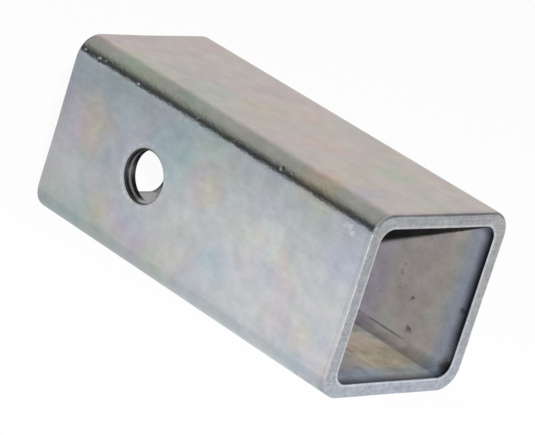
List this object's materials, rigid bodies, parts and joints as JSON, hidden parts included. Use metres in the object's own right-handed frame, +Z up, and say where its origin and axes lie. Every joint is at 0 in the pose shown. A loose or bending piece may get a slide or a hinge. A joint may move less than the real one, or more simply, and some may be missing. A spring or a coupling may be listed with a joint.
{
  "type": "receiver reducer sleeve",
  "caption": "Zinc-plated square steel tube that sleeves a large hitch receiver down to a smaller shank, cross-drilled for a hitch pin.",
  "frame": {"origin": "centre of the face that the tube lies on, halfway along its length", "axes": "+X along the tube towards the mouth that takes the shank, +Y across it along the pin hole, +Z up"},
  "size_m": [0.146, 0.0636, 0.0635],
  "materials": {
    "zinc_plate": "bright zinc plate, clear passivated, with a faint rainbow sheen and light handling marks"
  },
  "bodies": {
    "root": {"reducer_sleeve": "zinc_plate"}
  },
  "joints": []
}
